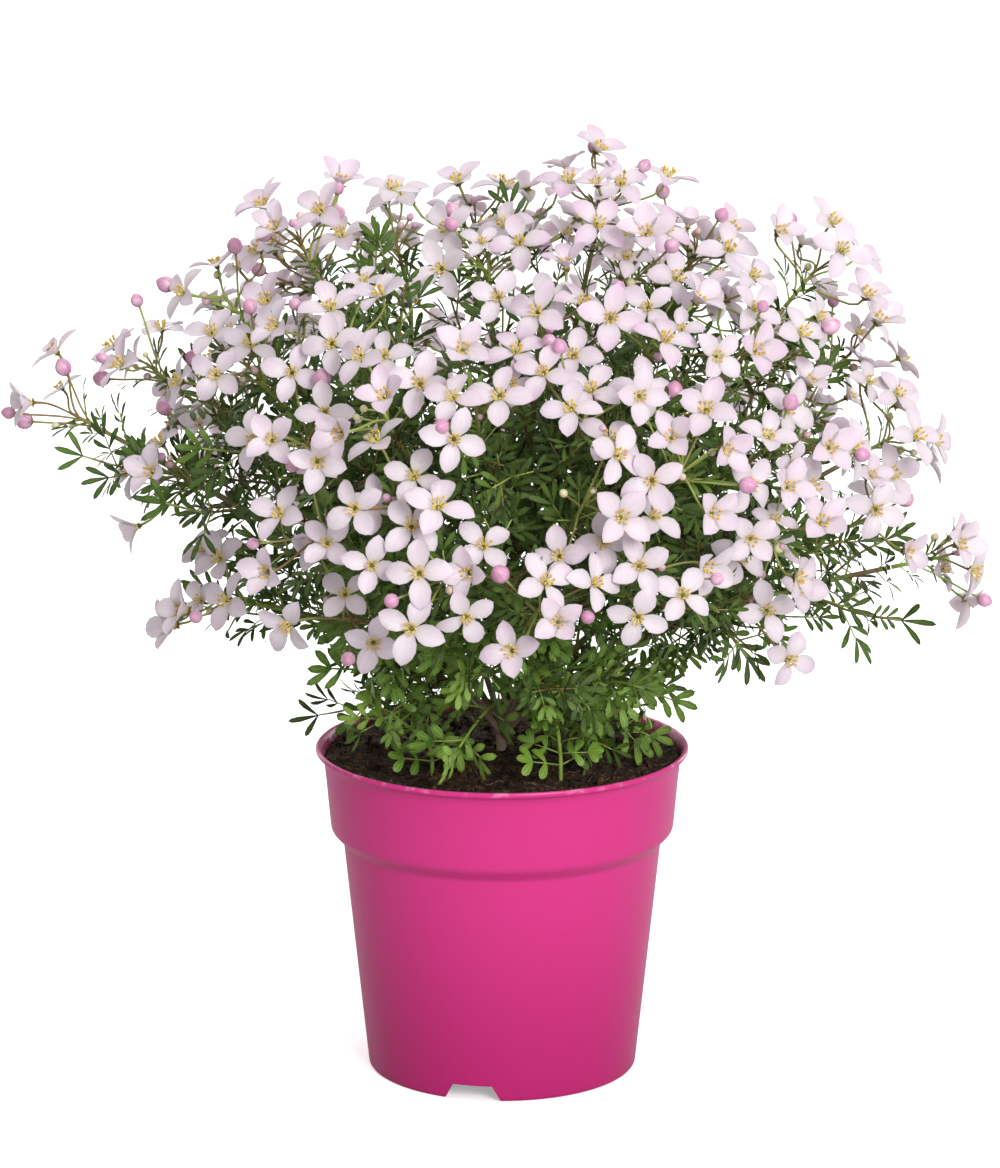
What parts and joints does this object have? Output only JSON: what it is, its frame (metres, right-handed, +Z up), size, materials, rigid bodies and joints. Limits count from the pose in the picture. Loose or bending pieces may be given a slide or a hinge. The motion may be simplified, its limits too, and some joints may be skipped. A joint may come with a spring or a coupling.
{
  "type": "potted boronia shrub",
  "caption": "Flowering boronia shrub with fine divided leaves and starry pale pink blooms, growing in a round tapered plastic nursery pot with a stepped collar.",
  "frame": {"origin": "on the pot's axis at the underside of its foot ring", "axes": "+Z up along the pot's axis, -Y towards the front with the drain notch, +X to the right seen from the front"},
  "size_m": [0.3418, 0.2998, 0.3292],
  "materials": {
    "pot": "satin moulded magenta plastic",
    "compost": "moist dark brown peat compost with fibres",
    "bark": "fine brown bark",
    "leaf": "dark green slightly glossy leaves on green to red-brown stems",
    "shoot": "brighter green young leaves",
    "petal": "soft pale pink petals with pinker tips"
  },
  "bodies": {
    "root": {"pot": "pot", "compost": "compost", "woody_base": "bark", "flower_spray_01": "petal", "flower_spray_02": "petal", "flower_spray_03": "petal", "flower_spray_04": "petal", "flower_spray_05": "petal", "flower_spray_06": "petal", "flower_spray_07": "petal", "flower_spray_08": "petal", "flower_spray_09": "petal", "flower_spray_10": "petal", "flower_spray_11": "petal", "flower_spray_12": "petal", "flower_spray_13": "petal", "flower_spray_14": "petal", "flower_spray_15": "petal", "flower_spray_16": "petal", "flower_spray_17": "petal", "flower_spray_18": "petal", "flower_spray_19": "petal", "flower_spray_20": "petal", "flower_spray_21": "petal", "flower_spray_22": "petal", "flower_spray_23": "petal", "flower_spray_24": "petal", "flower_spray_25": "petal", "flower_spray_26": "petal", "flower_spray_27": "petal", "flower_spray_28": "petal", "flower_spray_29": "petal", "flower_spray_30": "petal", "flower_spray_31": "petal", "flower_spray_32": "petal", "flower_spray_33": "petal", "flower_spray_34": "petal", "flower_spray_35": "petal", "flower_spray_36": "petal", "flower_spray_37": "petal", "flower_spray_38": "petal", "flower_spray_39": "petal", "flower_spray_40": "petal", "flower_spray_41": "petal", "flower_spray_42": "petal", "flower_spray_43": "petal", "flower_spray_44": "petal", "low_shoot_01": "shoot", "low_shoot_02": "shoot", "leafy_stem_01": "leaf", "leafy_stem_02": "leaf", "leafy_stem_03": "leaf", "leafy_stem_04": "leaf", "leafy_stem_05": "leaf", "leafy_stem_06": "leaf", "leafy_stem_07": "leaf", "leafy_stem_08": "leaf", "leafy_stem_09": "leaf", "leafy_stem_10": "leaf", "leafy_stem_11": "leaf"}
  },
  "joints": []
}
